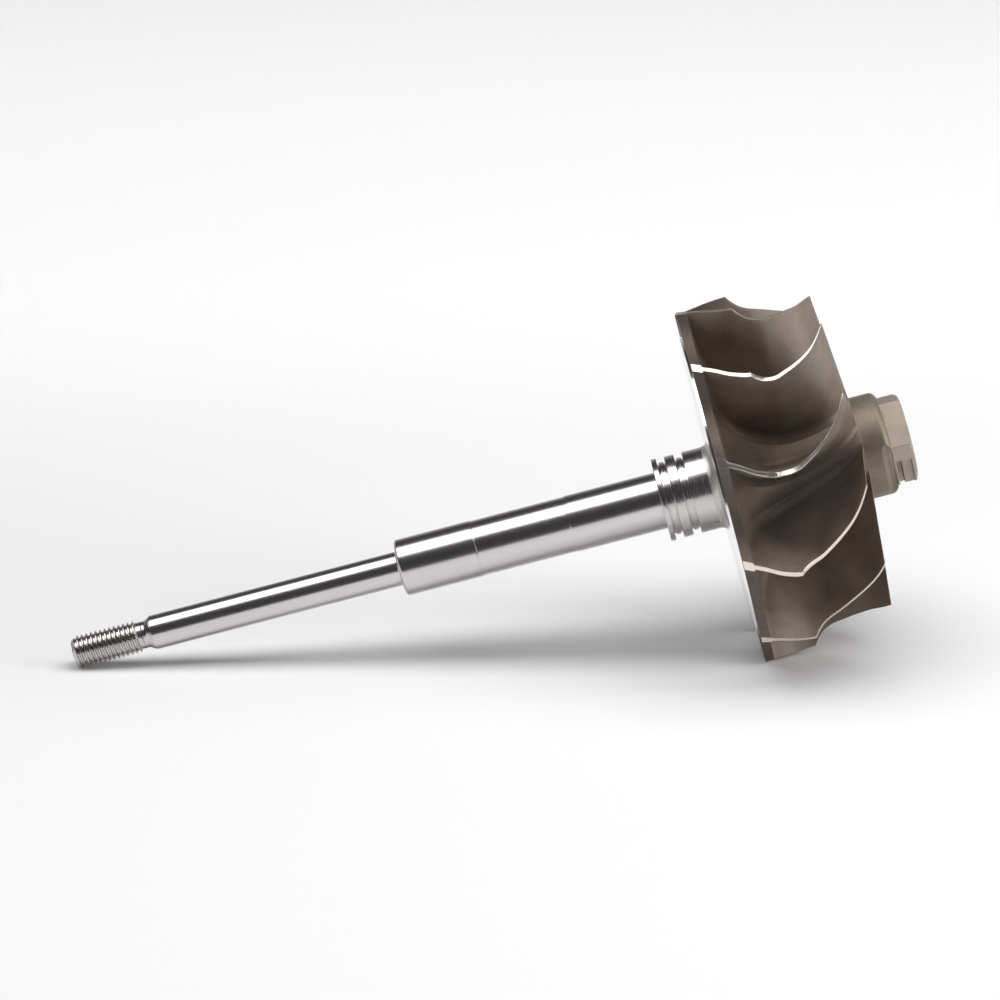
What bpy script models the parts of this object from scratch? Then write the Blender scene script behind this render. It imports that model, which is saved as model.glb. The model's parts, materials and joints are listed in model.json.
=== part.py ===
import bpy
import bmesh
import math
import mathutils
import numpy as np

for startObject in list(bpy.data.objects):
    bpy.data.objects.remove(startObject)

# All lengths are in metres. The rotor is drawn with its axis along local Z,
# Z = 0 at the threaded end, and is laid on the floor at the end.
mm = 0.001
gap = 0.04 * mm          # clear gap between touching pieces

threadRadius = 3.42 * mm
threadRoot = 2.88 * mm
threadPitch = 1.0 * mm
threadEnd = 15.0 * mm
reliefRadius = 2.84 * mm
reliefEnd = 16.9 * mm
seatRadius = 3.625 * mm
seatEnd = 70.5 * mm
journalRadius = 6.0 * mm
journalFrontEnd = 87.2 * mm
journalReliefRadius = 5.85 * mm
journalReliefEnd = 107.4 * mm
journalRearEnd = 126.8 * mm
lipRadius = 8.8 * mm
lipEnd = 127.95 * mm
grooveRadius = 7.75 * mm
grooveOneEnd = 129.6 * mm
landRadius = 8.65 * mm
landEnd = 131.7 * mm
grooveTwoEnd = 133.4 * mm
collarStraightEnd = 137.4 * mm
collarEnd = 138.95 * mm
collarFlareRadius = 9.8 * mm
raisedFaceRadius = 31.9 * mm
raisedFaceEnd = 139.45 * mm
discEnd = 141.35 * mm
scallopRadius = 33.0 * mm     # bottom of the rim's scallops
rimLandHalf = 0.98 * mm       # half the width of the rim left standing at each blade

bladeCount = 11
wheelRadius = 38.1 * mm
bladeTipEnd = 150.5 * mm
exducerPlane = 167.3 * mm
exducerLean = 2.3 * mm      # the outlet edge reaches further along the axis at the hub
bladeTipThickness = 0.9 * mm
bladeRootThickness = 2.3 * mm
hubEnd = 170.3 * mm
bossRadius = 10.8 * mm
bossFlatStart = 173.0 * mm   # one lower flat of the hex is carried on into the boss
bossEnd = 174.9 * mm
hexAcross = 17.3 * mm
hexEnd = 179.7 * mm
hexTurn = math.radians(21.0)   # turn of a corner from the top
hexChamferLength = 0.7 * mm
hexChamferDepth = 1.5 * mm
notchTurn = hexTurn + math.radians(90.0)
notchStart = 175.6 * mm
notchEnd = 178.9 * mm
notchDepth = 1.3 * mm

modelCollection = bpy.data.collections.new("turbine_wheel_rotor")
bpy.context.scene.collection.children.link(modelCollection)
cutterCollection = bpy.data.collections.new("cutters")
bpy.context.scene.collection.children.link(cutterCollection)

rotorEmpty = bpy.data.objects.new("rotor_axis", None)
modelCollection.objects.link(rotorEmpty)


def makeMaterial(name, color, metallic, roughness):
    material = bpy.data.materials.new(name)
    material.use_nodes = True
    shader = material.node_tree.nodes["Principled BSDF"]
    shader.inputs["Base Color"].default_value = (color[0], color[1], color[2], 1.0)
    shader.inputs["Metallic"].default_value = metallic
    shader.inputs["Roughness"].default_value = roughness
    return material


groundSteel = makeMaterial("ground_steel", (0.55, 0.53, 0.53), 1.0, 0.25)
turnedSteel = makeMaterial("turned_steel", (0.42, 0.39, 0.38), 1.0, 0.4)
castAlloy = makeMaterial("cast_alloy", (0.24, 0.21, 0.19), 0.6, 0.6)
machinedAlloy = makeMaterial("machined_alloy", (0.5, 0.46, 0.42), 0.8, 0.45)


def meshFromBmesh(name, bodyMesh, material):
    mesh = bpy.data.meshes.new(name)
    bmesh.ops.recalc_face_normals(bodyMesh, faces=bodyMesh.faces[:])
    bodyMesh.to_mesh(mesh)
    bodyMesh.free()
    obj = bpy.data.objects.new(name, mesh)
    mesh.materials.append(material)
    modelCollection.objects.link(obj)
    obj.parent = rotorEmpty
    return obj


def turned(name, profile, segments, material, turn=0.0):
    # A closed lathe body. The profile is a list of (radius, height) from the
    # bottom axis point to the top axis point.
    bodyMesh = bmesh.new()
    rings = []
    for radius, height in profile:
        if radius <= 0.0:
            rings.append([bodyMesh.verts.new((0.0, 0.0, height))])
            continue
        ring = []
        for index in range(segments):
            angle = turn + 2.0 * math.pi * index / segments
            ring.append(bodyMesh.verts.new((radius * math.cos(angle), radius * math.sin(angle), height)))
        rings.append(ring)
    for lower, upper in zip(rings[:-1], rings[1:]):
        for index in range(segments):
            following = (index + 1) % segments
            if len(lower) == 1:
                bodyMesh.faces.new((lower[0], upper[index], upper[following]))
            elif len(upper) == 1:
                bodyMesh.faces.new((lower[index], upper[0], lower[following]))
            else:
                bodyMesh.faces.new((lower[index], lower[following], upper[following], upper[index]))
    if len(rings[0]) > 1:
        bodyMesh.faces.new(list(reversed(rings[0])))
    if len(rings[-1]) > 1:
        bodyMesh.faces.new(rings[-1])
    obj = meshFromBmesh(name, bodyMesh, material)
    smoothRound(obj)
    return obj


def smoothRound(obj):
    for polygon in obj.data.polygons:
        polygon.use_smooth = True
    limit = math.radians(30.0)
    bodyMesh = bmesh.new()
    bodyMesh.from_mesh(obj.data)
    for edge in bodyMesh.edges:
        if len(edge.link_faces) == 2 and edge.calc_face_angle() > limit:
            edge.smooth = False
    bodyMesh.to_mesh(obj.data)
    bodyMesh.free()


def asCutter(obj):
    modelCollection.objects.unlink(obj)
    cutterCollection.objects.link(obj)
    obj.hide_render = True
    obj.display_type = "WIRE"
    return obj


def addCut(obj, cutter, operation="DIFFERENCE"):
    boolean = obj.modifiers.new("cut", "BOOLEAN")
    boolean.operation = operation
    boolean.solver = "EXACT"
    boolean.object = cutter
    return boolean


def hubRadiusAt(height):
    # Concave hub line from the disc face to the nose.
    start = discEnd
    reach = hubEnd - 1.5 * mm - start
    part = min(max((height - start) / reach, 0.0), 1.0)
    outer = 30.0 * mm
    inner = bossRadius + 0.1 * mm
    return inner + (outer - inner) * (1.0 - math.sqrt(max(0.0, 1.0 - (1.0 - part) ** 2.3)))


def shroudRadiusAt(height):
    # Straight tip, then a curved step down to the outlet.
    knots = (139.0, 150.5, 151.0, 151.61, 153.06, 154.91, 157.39, 160.48, 163.58, 167.3)
    radii = (38.1, 38.1, 37.35, 36.6, 35.28, 34.42, 33.83, 33.2, 32.9, 33.45)
    return mm * float(np.interp(height / mm, knots, radii))


def bladeTurnAt(height):
    # The blade's lean round the axis, in degrees from its inlet corner.
    knots = (139.4, 143.4, 146.9, 150.5, 153.06, 154.91, 157.39, 160.48, 163.58, 167.3, 169.6, 171.0)
    turns = (-0.5, 2.65, 5.9, 7.67, 7.8, 7.4, 5.3, 1.8, -3.2, -13.8, -24.5, -31.0)
    return math.radians(float(np.interp(height / mm, knots, turns)))


def makeBlade(index, name):
    # The blade is a curved plate: a grid over height and over the way from
    # inside the hub out to the shroud line, thicker at the root.
    heights = [141.4, 143.4, 145.2, 146.9, 148.7, 150.5]
    heights += [151.0, 151.61, 153.06, 154.91, 156.2, 157.39, 159.0, 160.48, 162.1, 163.58, 165.0, 166.2, 167.3]
    spans = (0.0, 0.12, 0.3, 0.55, 0.8, 1.0)
    baseAngle = 2.0 * math.pi * index / bladeCount
    bodyMesh = bmesh.new()
    sides = []
    for side in (-1.0, 1.0):
        grid = []
        for heightMm in heights:
            tipHeight = heightMm * mm
            lean = exducerLean * max(0.0, (tipHeight - bladeTipEnd) / (exducerPlane - bladeTipEnd))
            inner = hubRadiusAt(tipHeight + lean) - 1.2 * mm
            outer = shroudRadiusAt(tipHeight)
            row = []
            for span in spans:
                radius = inner + (outer - inner) * span
                height = tipHeight + lean * (1.0 - span)
                half = 0.5 * (bladeRootThickness + (bladeTipThickness - bladeRootThickness) * span ** 0.6)
                angle = baseAngle + bladeTurnAt(height) + side * half / radius
                row.append(bodyMesh.verts.new((radius * math.cos(angle), radius * math.sin(angle), height)))
            grid.append(row)
        sides.append(grid)
    low, high = sides
    rows = len(heights)
    columns = len(spans)
    for i in range(rows - 1):
        for j in range(columns - 1):
            bodyMesh.faces.new((low[i][j], low[i + 1][j], low[i + 1][j + 1], low[i][j + 1]))
            bodyMesh.faces.new((high[i][j], high[i][j + 1], high[i + 1][j + 1], high[i + 1][j]))
    for i in range(rows - 1):
        bodyMesh.faces.new((low[i][0], high[i][0], high[i + 1][0], low[i + 1][0]))
        bodyMesh.faces.new((low[i][-1], low[i + 1][-1], high[i + 1][-1], high[i][-1]))
    for j in range(columns - 1):
        bodyMesh.faces.new((low[0][j], low[0][j + 1], high[0][j + 1], high[0][j]))
        bodyMesh.faces.new((low[-1][j], high[-1][j], high[-1][j + 1], low[-1][j + 1]))
    bmesh.ops.triangulate(bodyMesh, faces=bodyMesh.faces[:])
    obj = meshFromBmesh(name, bodyMesh, castAlloy)
    smoothRound(obj)
    return obj


def makeShaft():
    shaftSegments = 48
    chamfer = 0.4 * mm
    # Thread: one ridge wound round a core, both ends running out.
    core = turned("threaded_end", [(0.0, 0.0), (threadRoot - 0.15 * mm, 0.0), (threadRoot, 0.15 * mm),
                                   (threadRoot, threadEnd - gap), (0.0, threadEnd - gap)], 32, turnedSteel)
    ridge = makeRidge()
    addCut(core, ridge, "UNION")
    relief = turned("thread_relief", [(0.0, threadEnd), (reliefRadius, threadEnd),
                                      (reliefRadius, threadEnd + 0.9 * mm),
                                      (seatRadius - 0.15 * mm, reliefEnd - gap), (0.0, reliefEnd - gap)],
                    shaftSegments, turnedSteel)
    seat = turned("compressor_seat", [(0.0, reliefEnd), (seatRadius - 0.15 * mm, reliefEnd),
                                      (seatRadius, reliefEnd + 0.15 * mm),
                                      (seatRadius, seatEnd - gap), (0.0, seatEnd - gap)],
                  shaftSegments, groundSteel)
    front = turned("bearing_journal_front", [(0.0, seatEnd), (journalRadius - chamfer, seatEnd),
                                             (journalRadius, seatEnd + chamfer),
                                             (journalRadius, journalFrontEnd - gap),
                                             (0.0, journalFrontEnd - gap)], shaftSegments, groundSteel)
    middle = turned("journal_relief", [(0.0, journalFrontEnd), (journalReliefRadius, journalFrontEnd),
                                       (journalReliefRadius, journalReliefEnd - gap),
                                       (0.0, journalReliefEnd - gap)], shaftSegments, groundSteel)
    rear = turned("bearing_journal_rear", [(0.0, journalReliefEnd), (journalRadius, journalReliefEnd),
                                           (journalRadius, journalRearEnd - gap),
                                           (0.0, journalRearEnd - gap)], shaftSegments, groundSteel)
    return [core, relief, seat, front, middle, rear]


def makeRidge():
    # A triangular section swept along a helix, buried a little in the core.
    stepsPerTurn = 24
    turns = (threadEnd - 1.6 * mm) / threadPitch
    steps = int(stepsPerTurn * turns)
    bodyMesh = bmesh.new()
    rings = []
    for index in range(steps + 1):
        part = index / steps
        angle = 2.0 * math.pi * turns * part
        height = 0.55 * mm + threadPitch * turns * part
        fade = min(1.0, part * steps / 14.0 + 0.25, (1.0 - part) * steps / 14.0 + 0.25)
        inner = threadRoot - 0.12 * mm
        outer = threadRoot + (threadRadius - threadRoot) * fade
        section = ((inner, -0.42), (outer, -0.09), (outer, 0.09), (inner, 0.42))
        ring = []
        for radius, offset in section:
            position = (radius * math.cos(angle), radius * math.sin(angle), height + offset * threadPitch)
            ring.append(bodyMesh.verts.new(position))
        rings.append(ring)
    for lower, upper in zip(rings[:-1], rings[1:]):
        for j in range(4):
            k = (j + 1) % 4
            bodyMesh.faces.new((lower[j], lower[k], upper[k], upper[j]))
    bodyMesh.faces.new(list(reversed(rings[0])))
    bodyMesh.faces.new(rings[-1])
    bmesh.ops.triangulate(bodyMesh, faces=bodyMesh.faces[:])
    return asCutter(meshFromBmesh("cut_thread_ridge", bodyMesh, turnedSteel))


def makeSealEnd():
    segments = 64
    edge = 0.15 * mm
    lip = turned("seal_lip", [(0.0, journalRearEnd), (lipRadius - edge, journalRearEnd),
                              (lipRadius, journalRearEnd + edge), (lipRadius, lipEnd - edge - gap),
                              (lipRadius - edge, lipEnd - gap), (0.0, lipEnd - gap)], segments, turnedSteel)
    grooveOne = turned("ring_groove_front", [(0.0, lipEnd), (grooveRadius, lipEnd),
                                             (grooveRadius, grooveOneEnd - gap), (0.0, grooveOneEnd - gap)],
                       segments, turnedSteel)
    land = turned("ring_land", [(0.0, grooveOneEnd), (landRadius, grooveOneEnd),
                                (landRadius, landEnd - gap), (0.0, landEnd - gap)], segments, turnedSteel)
    grooveTwo = turned("ring_groove_rear", [(0.0, landEnd), (grooveRadius, landEnd),
                                            (grooveRadius, grooveTwoEnd - gap), (0.0, grooveTwoEnd - gap)],
                       segments, turnedSteel)
    profile = [(0.0, grooveTwoEnd), (landRadius, grooveTwoEnd), (landRadius, collarStraightEnd)]
    for step in range(1, 6):
        part = step / 5.0
        radius = landRadius + (collarFlareRadius - landRadius) * (1.0 - math.cos(part * math.pi / 2.0))
        height = collarStraightEnd + (collarEnd - gap - collarStraightEnd) * math.sin(part * math.pi / 2.0)
        profile.append((radius, height))
    profile.append((0.0, collarEnd - gap))
    collar = turned("weld_collar", profile, segments, turnedSteel)
    return [lip, grooveOne, land, grooveTwo, collar]


def makeWheel():
    segments = bladeCount * 8
    # The back disc: a raised machined face and a rim cut into shallow scallops
    # that come out to the full radius at each blade.
    disc = makeDisc(segments)
    profile = [(0.0, discEnd)]
    for step in range(0, 13):
        part = step / 12.0
        height = discEnd + (hubEnd - 1.5 * mm - discEnd) * part ** 1.7
        profile.append((hubRadiusAt(height), height))
    profile.append((bossRadius + 0.1 * mm, hubEnd - gap))
    profile.append((0.0, hubEnd - gap))
    hub = turned("hub", profile, segments, castAlloy, math.pi / segments)
    grown = [(0.0, discEnd - 1.0 * mm), (31.5 * mm, discEnd - 1.0 * mm)]
    for radius, height in profile[1:-1]:
        grown.append((radius + 0.08 * mm, height + 0.02 * mm))
    grown.append((bossRadius + 0.18 * mm, hubEnd + 2.0 * mm))
    grown.append((0.0, hubEnd + 2.0 * mm))
    hubCutter = asCutter(turned("cut_hub", grown, segments, castAlloy, math.pi / segments))
    blades = []
    for index in range(bladeCount):
        blade = makeBlade(index, "blade_%02d" % (index + 1))
        addCut(blade, hubCutter)
        blades.append(blade)
    return [disc, hub] + blades


def makeDisc(segments):
    bodyMesh = bmesh.new()
    # Each scallop is an arc from one land to the next, 33 mm from the axis at its middle.
    halfPitch = math.pi / bladeCount
    halfAngle = halfPitch - rimLandHalf / wheelRadius
    edge = 0.5 * (1.0 - halfAngle / halfPitch)
    parts = [0.0] + [edge + (1.0 - 2.0 * edge) * step / 10.0 for step in range(11)]
    reach = wheelRadius * math.sin(halfAngle)
    depth = wheelRadius * math.cos(halfAngle) - scallopRadius
    arcRadius = (reach * reach + depth * depth) / (2.0 * depth)
    arcCentre = scallopRadius + arcRadius
    perBlade = len(parts)
    total = bladeCount * perBlade
    levels = []

    def ringAt(radiusOf, height):
        ring = []
        for index in range(total):
            angle = 2.0 * math.pi * (index // perBlade + parts[index % perBlade]) / bladeCount
            radius = radiusOf(index)
            ring.append(bodyMesh.verts.new((radius * math.cos(angle), radius * math.sin(angle), height)))
        return ring

    def rimRadius(index):
        # Full radius beside each blade, the arc between.
        part = parts[index % perBlade]
        if part <= edge + 1e-6 or part >= 1.0 - edge - 1e-6:
            return wheelRadius
        turn = (part - 0.5) * 2.0 * halfPitch
        return arcCentre * math.cos(turn) - math.sqrt(arcRadius ** 2 - (arcCentre * math.sin(turn)) ** 2)

    levels.append(ringAt(lambda index: raisedFaceRadius, collarEnd))
    levels.append(ringAt(lambda index: raisedFaceRadius, raisedFaceEnd))
    levels.append(ringAt(rimRadius, raisedFaceEnd))
    levels.append(ringAt(rimRadius, discEnd - gap))
    for lower, upper in zip(levels[:-1], levels[1:]):
        for index in range(total):
            following = (index + 1) % total
            bodyMesh.faces.new((lower[index], lower[following], upper[following], upper[index]))
    bodyMesh.faces.new(list(reversed(levels[0])))
    bodyMesh.faces.new(levels[-1])
    obj = meshFromBmesh("back_disc", bodyMesh, castAlloy)
    smoothRound(obj)
    return obj


def makeNose():
    segments = 66
    boss = turned("nose_boss", [(0.0, hubEnd), (bossRadius - 0.3 * mm, hubEnd),
                                (bossRadius, hubEnd + 0.3 * mm), (bossRadius, bossEnd - 0.6 * mm),
                                (bossRadius - 0.2 * mm, bossEnd - 0.2 * mm),
                                (bossRadius - 0.7 * mm, bossEnd - gap), (0.0, bossEnd - gap)],
                  segments, machinedAlloy)
    flat = boxCutter("cut_boss_flat", notchTurn, hexAcross / 2.0, 4.0 * mm,
                     -12.0 * mm, 12.0 * mm, bossFlatStart, bossEnd + 1.0 * mm)
    addCut(boss, flat)
    corner = hexAcross / 2.0 / math.cos(math.pi / 6.0)
    hexNut = turned("hex_nose", [(0.0, bossEnd), (corner, bossEnd), (corner, hexEnd), (0.0, hexEnd)],
                    6, machinedAlloy, hexTurn)
    cone = turned("cut_hex_chamfer", [(0.0, bossEnd - 1.0 * mm), (corner + 1.0 * mm, bossEnd - 1.0 * mm),
                                      (corner + 1.0 * mm, hexEnd - hexChamferLength * 1.6),
                                      (corner, hexEnd - hexChamferLength),
                                      (corner - hexChamferDepth, hexEnd),
                                      (corner - 2.0 * hexChamferDepth, hexEnd + hexChamferLength),
                                      (0.0, hexEnd + hexChamferLength)], 48, machinedAlloy)
    addCut(hexNut, asCutter(cone), "INTERSECT")
    # The balancing notch runs out over the lower corner of its flat.
    notch = boxCutter("cut_notch", notchTurn, hexAcross / 2.0 - notchDepth, 4.0 * mm,
                      -1.2 * mm, 8.0 * mm, notchStart, notchEnd)
    addCut(hexNut, notch)
    return [boss, hexNut]


def boxCutter(name, turn, near, depth, sideLow, sideHigh, low, high):
    # A box that stands off the axis in the direction of turn, from near to
    # near + depth, and from sideLow to sideHigh along the turning direction.
    bodyMesh = bmesh.new()
    outward = (math.cos(turn), math.sin(turn))
    sideways = (-math.sin(turn), math.cos(turn))
    corners = []
    for height in (low, high):
        for along, across in ((near, sideLow), (near + depth, sideLow), (near + depth, sideHigh), (near, sideHigh)):
            x = outward[0] * along + sideways[0] * across
            y = outward[1] * along + sideways[1] * across
            corners.append(bodyMesh.verts.new((x, y, height)))
    for face in ((0, 3, 2, 1), (4, 5, 6, 7), (0, 1, 5, 4), (1, 2, 6, 5), (2, 3, 7, 6), (3, 0, 4, 7)):
        bodyMesh.faces.new([corners[index] for index in face])
    return asCutter(meshFromBmesh(name, bodyMesh, machinedAlloy))


def gatherPoints():
    graph = bpy.context.evaluated_depsgraph_get()
    corners = []
    for obj in modelCollection.objects:
        if obj.type != "MESH":
            continue
        evaluated = obj.evaluated_get(graph)
        for vertex in evaluated.data.vertices:
            corners.append(evaluated.matrix_world @ vertex.co)
    return np.array(corners)


def layOnFloor():
    # The rotor rests on its threaded end and on two blade tips, which stand
    # at equal angles either side of the lowest point. The tilt is the one at
    # which the two ends are equally low.
    bpy.context.view_layer.update()
    points = gatherPoints()
    threadSide = points[points[:, 2] < 20.0 * mm]
    wheelSide = points[points[:, 2] > 130.0 * mm]
    low = 0.0
    high = 0.5
    for step in range(60):
        tilt = 0.5 * (low + high)
        threadLow = (threadSide[:, 2] * math.sin(tilt) + threadSide[:, 0] * math.cos(tilt)).min()
        wheelLow = (wheelSide[:, 2] * math.sin(tilt) + wheelSide[:, 0] * math.cos(tilt)).min()
        if wheelLow < threadLow:
            low = tilt
        else:
            high = tilt
    # Local Z becomes the rotor axis, local X points up before the tilt.
    axis = mathutils.Vector((math.cos(tilt), 0.0, math.sin(tilt)))
    top = mathutils.Vector((-math.sin(tilt), 0.0, math.cos(tilt)))
    rotation = mathutils.Matrix((top, axis.cross(top), axis)).transposed()
    turnedPoints = points @ np.array(rotation.transposed())
    least = turnedPoints.min(axis=0)
    most = turnedPoints.max(axis=0)
    shift = mathutils.Vector((-(least[0] + most[0]) / 2.0, -(least[1] + most[1]) / 2.0, -least[2]))
    rotorEmpty.matrix_world = mathutils.Matrix.Translation(shift) @ rotation.to_4x4()
    bpy.context.view_layer.update()
    print("tilt degrees", round(math.degrees(tilt), 4))
    print("size mm", [round(float(v) / mm, 3) for v in (most - least)])
    print("shift mm", [round(float(v) / mm, 4) for v in shift])


makeShaft()
makeSealEnd()
makeWheel()
makeNose()
layOnFloor()
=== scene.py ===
import json
import math
import bpy
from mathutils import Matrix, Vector


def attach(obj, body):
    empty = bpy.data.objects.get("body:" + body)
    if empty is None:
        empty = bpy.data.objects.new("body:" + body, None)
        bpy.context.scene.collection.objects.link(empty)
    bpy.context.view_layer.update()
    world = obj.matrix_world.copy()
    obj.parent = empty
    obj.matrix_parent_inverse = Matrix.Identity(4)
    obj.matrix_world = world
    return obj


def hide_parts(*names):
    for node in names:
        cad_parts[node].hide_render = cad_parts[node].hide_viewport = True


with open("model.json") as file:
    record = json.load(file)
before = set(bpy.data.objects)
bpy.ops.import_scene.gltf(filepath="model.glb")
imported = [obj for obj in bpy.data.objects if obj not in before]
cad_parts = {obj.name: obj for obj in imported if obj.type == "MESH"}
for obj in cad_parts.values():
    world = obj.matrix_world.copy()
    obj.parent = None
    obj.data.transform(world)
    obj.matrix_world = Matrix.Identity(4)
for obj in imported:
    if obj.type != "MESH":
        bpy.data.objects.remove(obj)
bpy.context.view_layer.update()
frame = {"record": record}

mm = 0.001

# How the rotor lies: its axis starts at the middle of its threaded end and climbs by tilt degrees.
# Both come from the mounts on its two ends.
mountPlaces = {mount["name"]: Vector(mount["pos_m"]) for mount in frame["record"]["mounts"]}
rotorAxis = mountPlaces["hex_nose_end"] - mountPlaces["thread_end"]
lying = {
    "start": mountPlaces["thread_end"],
    "tilt": math.degrees(math.atan2(rotorAxis.z, rotorAxis.x)),
}


# Helpers for working on one piece at a time


def deselectAll():
    if bpy.context.object and bpy.context.object.mode != "OBJECT":
        bpy.ops.object.mode_set(mode="OBJECT")
    bpy.ops.object.select_all(action="DESELECT")


def makeActive(piece):
    deselectAll()
    piece.select_set(True)
    bpy.context.view_layer.objects.active = piece


def applyModifier(piece, kind, **settings):
    makeActive(piece)
    modifier = piece.modifiers.new(kind.lower(), kind)
    for setting, value in settings.items():
        setattr(modifier, setting, value)
    bpy.ops.object.modifier_apply(modifier=modifier.name)


def softenEdges(piece, width, segments=3, angle=30.0):
    applyModifier(piece, "BEVEL", width=width * mm, segments=segments, limit_method="ANGLE",
                  angle_limit=math.radians(angle), use_clamp_overlap=True)


def cutWith(piece, cutter, operation="DIFFERENCE"):
    applyModifier(piece, "BOOLEAN", operation=operation, solver="EXACT", object=cutter)
    bpy.data.objects.remove(cutter)


def smoothShade(piece, angle=32.0):
    # Large faces set the normals, so that narrow rounded edges don't bend the reflections next to them.
    makeActive(piece)
    bpy.ops.object.shade_smooth_by_angle(angle=math.radians(angle))
    applyModifier(piece, "WEIGHTED_NORMAL", mode="FACE_AREA", weight=50, keep_sharp=True)


def turnOnLathe(name, profile, segments=192):
    # The first ring is drawn, then pulled along the axis step by step. Radius and height in mm.
    deselectAll()
    radius, height = profile[0]
    bpy.ops.mesh.primitive_circle_add(vertices=segments, radius=radius * mm, fill_type="NGON",
                                      location=(0, 0, height * mm))
    piece = bpy.context.object
    piece.name = name
    bpy.ops.object.transform_apply(location=True, rotation=True, scale=True)
    bpy.ops.object.mode_set(mode="EDIT")
    bpy.ops.mesh.select_all(action="SELECT")
    for nextRadius, nextHeight in profile[1:]:
        bpy.ops.mesh.extrude_region_move(
            TRANSFORM_OT_translate={"value": (0, 0, (nextHeight - height) * mm)})
        if nextRadius != radius:
            size = nextRadius / radius
            bpy.ops.transform.resize(value=(size, size, 1), center_override=(0, 0, nextHeight * mm))
        radius, height = nextRadius, nextHeight
    bpy.ops.mesh.select_all(action="SELECT")
    bpy.ops.mesh.normals_make_consistent(inside=False)
    bpy.ops.object.mode_set(mode="OBJECT")
    return piece


def boxAt(name, size, centre, turn=0.0, rounding=0.0):
    # A cutter block: size and centre in mm, turned about the rotor axis.
    deselectAll()
    bpy.ops.mesh.primitive_cube_add(size=1.0, location=(0, 0, 0))
    block = bpy.context.object
    block.name = name
    block.scale = [value * mm for value in size]
    block.location = [value * mm for value in centre]
    bpy.ops.object.transform_apply(location=True, rotation=True, scale=True)
    if rounding:
        softenEdges(block, rounding, segments=8)
    makeActive(block)
    block.rotation_euler = (0, 0, math.radians(turn))
    bpy.ops.object.transform_apply(location=True, rotation=True, scale=True)
    return block


def layDown(piece):
    # Pieces are drawn upright, with the axis along Z and X for the top of the lying rotor.
    makeActive(piece)
    piece.rotation_euler = (0, math.radians(lying["tilt"] - 90.0), math.pi)
    piece.location = lying["start"]
    bpy.ops.object.transform_apply(location=True, rotation=True, scale=True)


def smoothAt(knots, values, x):
    # A smooth line through the given points, with no overshoot between them.
    if x <= knots[0]:
        return values[0]
    if x >= knots[-1]:
        return values[-1]
    slopes = [(values[i + 1] - values[i]) / (knots[i + 1] - knots[i]) for i in range(len(knots) - 1)]
    i = max(j for j in range(len(slopes)) if knots[j] <= x)

    def slopeAt(j):
        if j == 0:
            return slopes[0]
        if j == len(slopes):
            return slopes[-1]
        if slopes[j - 1] * slopes[j] <= 0:
            return 0.0
        return 2.0 * slopes[j - 1] * slopes[j] / (slopes[j - 1] + slopes[j])

    width = knots[i + 1] - knots[i]
    part = (x - knots[i]) / width
    rise = values[i + 1] - values[i]
    first = slopeAt(i) * width
    last = slopeAt(i + 1) * width
    return (values[i] + part * first + part ** 2 * (3 * rise - 2 * first - last)
            + part ** 3 * (first + last - 2 * rise))


# Materials

marksSettings = {
    "rings": 6000.0, "ringDetail": 3.0,  # rings to a metre along the axis
    "mottle": 0.2, "mottleScale": 900.0, "mottleDetail": 4.0,
}

grainSettings = {
    "grain": 2200.0, "grainDetail": 5.0, "grainRoughness": 0.6,
    "stain": 120.0, "stainDetail": 3.0, "stainDistortion": 0.4,
    "swell": 0.5, "speckRange": (0.58, 0.7),
}


def newGroup(name, inputs, outputs):
    group = bpy.data.node_groups.new(name, "ShaderNodeTree")
    for label, value in inputs:
        socket = group.interface.new_socket(label, in_out="INPUT", socket_type="NodeSocketFloat")
        socket.default_value = value
    for label in outputs:
        group.interface.new_socket(label, in_out="OUTPUT", socket_type="NodeSocketFloat")
    start = group.nodes.new("NodeGroupInput")
    end = group.nodes.new("NodeGroupOutput")
    return group, start, end


def axisCoordinates(group):
    # Object coordinates turned so that Z runs along the rotor axis.
    coordinates = group.nodes.new("ShaderNodeTexCoord")
    mapping = group.nodes.new("ShaderNodeMapping")
    mapping.vector_type = "TEXTURE"
    mapping.inputs["Location"].default_value = lying["start"]
    mapping.inputs["Rotation"].default_value = (0, math.radians(90.0 - lying["tilt"]), 0)
    group.links.new(coordinates.outputs["Object"], mapping.inputs["Vector"])
    return mapping.outputs["Vector"]


def makeTurningMarks():
    # Fine rings left by turning or grinding: a height and a mask that change mostly along the axis,
    # with a faint mottle so that no ring is perfect.
    m = marksSettings
    group, start, end = newGroup("turningMarks",
                                 [("Rings per metre", m["rings"]), ("Mottle", m["mottle"])],
                                 ["Height", "Mask"])
    along = axisCoordinates(group)
    split = group.nodes.new("ShaderNodeSeparateXYZ")
    group.links.new(along, split.inputs["Vector"])
    rings = group.nodes.new("ShaderNodeMath")
    rings.operation = "MULTIPLY"
    group.links.new(split.outputs["Z"], rings.inputs[0])
    group.links.new(start.outputs["Rings per metre"], rings.inputs[1])
    ringNoise = group.nodes.new("ShaderNodeTexNoise")
    ringNoise.noise_dimensions = "1D"
    ringNoise.inputs["Scale"].default_value = 1.0
    ringNoise.inputs["Detail"].default_value = m["ringDetail"]
    group.links.new(rings.outputs["Value"], ringNoise.inputs["W"])
    mottle = group.nodes.new("ShaderNodeTexNoise")
    mottle.inputs["Scale"].default_value = m["mottleScale"]
    mottle.inputs["Detail"].default_value = m["mottleDetail"]
    group.links.new(along, mottle.inputs["Vector"])
    blend = group.nodes.new("ShaderNodeMix")
    blend.data_type = "FLOAT"
    group.links.new(start.outputs["Mottle"], blend.inputs["Factor"])
    group.links.new(ringNoise.outputs["Fac"], blend.inputs["A"])
    group.links.new(mottle.outputs["Fac"], blend.inputs["B"])
    group.links.new(blend.outputs["Result"], end.inputs["Height"])
    group.links.new(blend.outputs["Result"], end.inputs["Mask"])
    return group


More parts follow.
